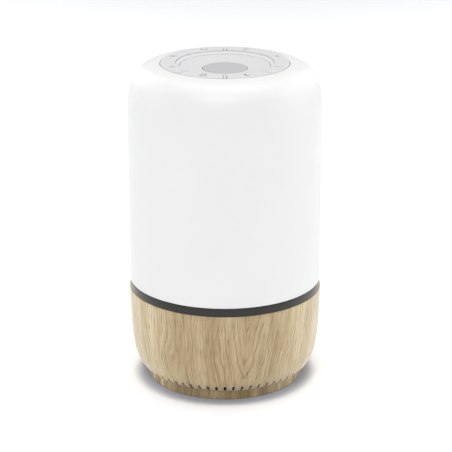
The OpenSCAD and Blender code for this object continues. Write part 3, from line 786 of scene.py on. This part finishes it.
def make_push_key(name, azimuth, kind):
    at_front = abs(azimuth) < 90
    side = 1 if math.sin(math.radians(azimuth)) > 0 else -1
    wide, thin = BRIDGE_W + 2 * KEY_GAP, KEY_GAP
    gaps = (wide, thin) if (side > 0) == at_front else (thin, wide)
    cap = key_sector(name, azimuth, 45, Z_TOP, gaps)
    pegs = [peg(KEY_STEM_R, Z_DOME, STEM_TOP, azimuth, KEY_MID_R)]
    pegs += [peg(GUIDE_STEM_R, Z_DOME + GUIDE_LIFT, STEM_TOP, azimuth + d, KEY_MID_R) for d in (-11, 11)]
    fit(join([cap] + pegs, "cap_" + name), "panel_grey", name, name)
    print_on(name, symbol(kind, *symbol_place(azimuth), Z_TOP))


def make_rocker(name, side, kinds):
    top = Z_TOP + ROCKER_RISE
    azimuth = side * 90
    cap = key_sector(name, azimuth, 90, top, (KEY_GAP, KEY_GAP))
    stem_foot = Z_DOME + ROCKER_STEM_LIFT
    pegs = [peg(KEY_STEM_R, stem_foot, STEM_TOP, azimuth + d, KEY_MID_R) for d in (-22.5, 22.5)]
    hub = block((3.4, 4.4, 3.9), (side * PIN_DISTANCE, 0, STEM_TOP - 1.85), 0.3)
    deselect()
    bpy.ops.mesh.primitive_cylinder_add(
        vertices=40, radius=1.27 * MM, depth=8 * MM, rotation=(0, math.pi / 2, 0),
        location=(side * PIN_DISTANCE * MM, 0, (Z_TOP - PIN_DROP) * MM))
    cut_away(hub, settle(bpy.context.object, "pin_hole"))
    fit(join([cap, hub] + pegs, "cap_" + name), "panel_grey", name, name)
    marks = []
    for kind, d in zip(kinds, (-22.5, 22.5)):
        marks += symbol(kind, *symbol_place(azimuth + d * side), top)
    print_on(name, marks)


def dish_height(r):
    edge = Z_TOP - 2.2
    return edge + math.sqrt(DISH_CURVE ** 2 - DISH_OUT_R ** 2) - math.sqrt(DISH_CURVE ** 2 - r ** 2)


def make_panel():
    z_frame = Z_TOP - 6.5
    bevel = rounded([
        (BEVEL_IN_R, z_frame, 0), (BEVEL_OUT_R, z_frame, 0), (BEVEL_OUT_R, Z_TOP - 0.6, 0.15),
        (BEVEL_IN_R, Z_TOP - 2.05, 0.1)], 4)
    fit(turned("bevel", bevel), "panel_grey", "housing", "bevel_ring")
    under = Z_TOP - 5.7
    steps = 10
    dish = [(DISH_IN_R, under), (DISH_OUT_R, under)]
    dish += rounded([(DISH_OUT_R, under, 0), (DISH_OUT_R, dish_height(DISH_OUT_R), 0.1),
                     (DISH_OUT_R - 1, dish_height(DISH_OUT_R - 1), 0)], 4)[1:-1]
    for k in range(1, steps + 1):
        r = DISH_OUT_R - 0.8 - (DISH_OUT_R - DISH_IN_R - 1.2) * k / steps
        dish.append((r, dish_height(r)))
    dish += rounded([(DISH_IN_R + 0.4, dish_height(DISH_IN_R + 0.4), 0),
                     (DISH_IN_R, dish_height(DISH_IN_R), 0.2), (DISH_IN_R, under, 0)], 4)[1:-1]
    fit(turned("dish", dish), "panel_grey", "housing", "dish_plate")
    strips = []
    for side in (-1, 1):
        strips.append(block((BRIDGE_W, PANEL_R - KEY_IN_R - 0.15, Z_TOP - 0.15 - z_frame),
                            (0, side * KEY_MID_R, (Z_TOP - 0.15 + z_frame) / 2), 0.25))
    fit(join(strips, "strips"), "panel_grey", "housing", "bridge_strips")


def make_button():
    face = Z_TOP - 3.75
    sag = 0.35
    outline = [(0, face - 1.6)]
    outline += rounded([(BUTTON_R - 1, face - 1.6, 0), (BUTTON_R, face - 1.6, 0.2), (BUTTON_R, face, 0.45),
                        (BUTTON_R - 2, face - 0.03, 0)], 4)[1:]
    for k in range(1, 9):
        r = (BUTTON_R - 2) * (1 - k / 8)
        outline.append((r, face - 0.03 - sag * (1 - (r / (BUTTON_R - 2)) ** 2)))
    cap = turned("button", outline, steps=96, closed=False)
    stem = peg(3, Z_DOME, face - 1.5, 0, 0)
    button = join([cap, stem], "button")
    fit(button, "button_grey", "centre_button", "centre_button")


# ---- Soft pieces under the keys and round the cone ----

def make_dome(place, azimuth, distance):
    """A hollow silicone spring under a key."""
    name = "dome_" + place
    low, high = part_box(name)
    foot_z, roof_z = low[2] / MM, high[2] / MM
    outline = [(0, roof_z - 1), (1.4, roof_z - 1)]
    outline += rounded([(2.4, foot_z, 0), (3.4, foot_z, 0), (3.4, foot_z + 0.5, 0.15),
                        (2.4, roof_z - 0.5, 0.2), (1.9, roof_z, 0.15), (0, roof_z, 0)], 3)
    piece = turned("spring_" + place, outline, steps=40, closed=False)
    edit(piece)
    bpy.ops.mesh.select_all(action="SELECT")
    a = math.radians(azimuth)
    across, depth = distance * math.sin(a) * MM, -distance * math.cos(a) * MM
    bpy.ops.transform.translate(value=(across, depth, 0))
    leave_edit()
    fit(settle(piece, "spring_" + place), "silicone", "housing", name)
    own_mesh(piece)


def make_bending_ring(name, outline, slot, node, sectors, material=None):
    """A ring between the cone and its frame, in sectors."""
    reach = 360 / sectors
    for k in range(sectors):
        middle = reach * k
        # A little over length at both ends, for the planes to trim.
        piece = turned("%s_%02d" % (name, k + 1), outline, steps=8,
                       start=middle - 0.6 * reach, sweep=1.2 * reach)
        for side in (-1, 1):
            b = math.radians(middle + side * reach / 2)
            slice_off(piece, (0, 0, 0), (side * math.cos(b), side * math.sin(b), 0))
        dress(settle(piece, piece.name), slot, material)
        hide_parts(node)
        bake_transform(piece)


def make_spider():
    """The corrugated cloth that centres the voice coil."""
    low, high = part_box("spider")
    out_r, foot_z, top_z = high[0] / MM, low[2] / MM, high[2] / MM
    coil_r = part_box("voice_coil")[1][0] / MM
    thick, waves, rows = 0.24, 4, 24
    upper = []
    for k in range(rows + 1):
        ripple = 0.5 - 0.5 * math.cos(2 * math.pi * waves * k / rows)
        height = foot_z + thick + (top_z - foot_z - thick) * ripple
        upper.append((coil_r + (out_r - coil_r) * k / rows, height))
    outline = upper + [(r, z - thick) for r, z in reversed(upper)]
    make_bending_ring("spider", outline, "copper", "spider", 12, spider_cloth())


def make_surround():
    """The half roll of rubber round the cone's rim."""
    cone_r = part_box("driver_cone")[1][0] / MM
    out_r, rim_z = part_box("surround")[1][0] / MM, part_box("surround")[1][2] / MM
    roll = (out_r - cone_r) / 2
    turns = [math.radians(180 + 15 * k) for k in range(13)]
    outline = [(cone_r + roll + roll * math.cos(a), rim_z + roll * math.sin(a)) for a in turns]
    inner = roll - 0.5
    outline += [(cone_r + roll + inner * math.cos(a), rim_z + inner * math.sin(a)) for a in reversed(turns)]
    make_bending_ring("surround", outline, "rubber_black", "surround", 24)


make_shade()
make_band()
make_base()
make_foot()
make_panel()
make_button()
make_push_key("key_front_left", -22.5, "tune")
make_push_key("key_front_right", 22.5, "night")
make_push_key("key_back_left", -157.5, "play")
make_push_key("key_back_right", 157.5, "level")
make_rocker("rocker_light", -1, ("dimmer", "brighter"))
make_rocker("rocker_volume", 1, ("quieter", "louder"))
make_dome("front_left", -22.5, KEY_MID_R)
make_dome("front_right", 22.5, KEY_MID_R)
make_dome("back_left", -157.5, KEY_MID_R)
make_dome("back_right", 157.5, KEY_MID_R)
make_dome("centre", 0, 0)
make_spider()
make_surround()

# ---- CAD pieces that stay, in their own finishes ----

for row in frame["record"]["subparts"]:
    cad_piece = frame["nodes"][row["node"]]
    finish = MATERIALS[row["material_slot"]]
    for material_slot in cad_piece.material_slots:
        material_slot.material = finish


# ---- Stage ----

def make_floor():
    deselect()
    bpy.ops.mesh.primitive_plane_add(size=12, location=(0, 0, 0))
    floor = bpy.context.object
    floor.name = "floor"
    material, tree = new_material("white_sweep_paper")
    place = millimetres(tree)
    fibre = grain(tree, place, 0.8, 3)
    colour = blend_colours(tree, fibre, hex_colour("f4f5f7"), hex_colour("f1f2f5"))
    # Painted contact shadow: the paper glows evenly, but close round what stands on it its glow is taken away
    # and its colour darkened to a blue grey.
    painted_shadow_ao = add_node(tree, "AmbientOcclusion", {"samples": 16}, Distance=0.013).outputs["AO"]
    glow_under_painted_shadow = remap(tree, painted_shadow_ao, 0.6, 0.97, 0.0, 0.21)
    colour = blend_colours(tree, remap(tree, painted_shadow_ao, 0.45, 0.85, 0.0, 1.0), hex_colour("bcc1cf"), colour)
    surface = add_node(tree, "BsdfPrincipled", Base_Color=colour, Roughness=0.9, Specular_IOR_Level=0.1,
                       Emission_Color=(1, 1, 1, 1), Emission_Strength=glow_under_painted_shadow)
    add_node(tree, "OutputMaterial", Surface=surface.outputs[0])
    floor.data.materials.append(material)


def soft_box(name, place, aim, width, height, power):
    light = bpy.data.lights.new(name, "AREA")
    light.shape = "RECTANGLE"
    light.size = width
    light.size_y = height
    light.energy = power
    lamp = bpy.data.objects.new(name, light)
    bpy.context.collection.objects.link(lamp)
    lamp.location = place
    direction = [a - b for a, b in zip(aim, place)]
    flat = math.hypot(direction[0], direction[1])
    turn = math.atan2(direction[1], direction[0]) - math.pi / 2
    lamp.rotation_euler = (math.atan2(flat, -direction[2]), 0, turn)


def make_light():
    world = bpy.data.worlds.new("studio")
    bpy.context.scene.world = world
    world.use_nodes = True
    background = world.node_tree.nodes["Background"]
    background.inputs[0].default_value = (1, 1, 1, 1)
    background.inputs[1].default_value = 0.27
    body = (0, 0, 0.1)
    soft_box("key", (-0.15, -1.1, 1.15), (0, 0, 0.15), 0.7, 0.6, 8.6)
    soft_box("overhead", (0, 0.1, 1.35), body, 1.1, 0.9, 7.2)
    soft_box("side_left", (-1.25, 0.15, 0.55), body, 0.8, 1.0, 2.5)
    soft_box("side_right", (1.25, 0.15, 0.55), body, 0.8, 1.0, 4.9)
    soft_box("back_left", (-0.8, 1.0, 0.6), body, 0.8, 1.0, 4.8)
    soft_box("back_right", (0.8, 1.0, 0.6), body, 0.8, 1.0, 3.8)
    soft_box("front_fill", (0, -1.4, 0.25), body, 1.2, 0.4, 0.7)


def make_camera():
    """Long lens from a metre and a quarter away, 19 degrees above the table."""
    distance, elevation = 1.25, math.radians(18.957)
    aim = (0.00067, 0.0, 0.1017)
    camera = bpy.data.cameras.new("camera")
    camera.lens = 152.05
    camera.sensor_width = 36
    camera.clip_end = 50
    viewer = bpy.data.objects.new("camera", camera)
    bpy.context.collection.objects.link(viewer)
    viewer.location = (aim[0], -distance * math.cos(elevation), aim[2] + distance * math.sin(elevation))
    viewer.rotation_euler = (math.pi / 2 - elevation, 0, 0)
    bpy.context.scene.camera = viewer


make_floor()
make_light()
make_camera()
bpy.context.scene.view_settings.view_transform = "Standard"
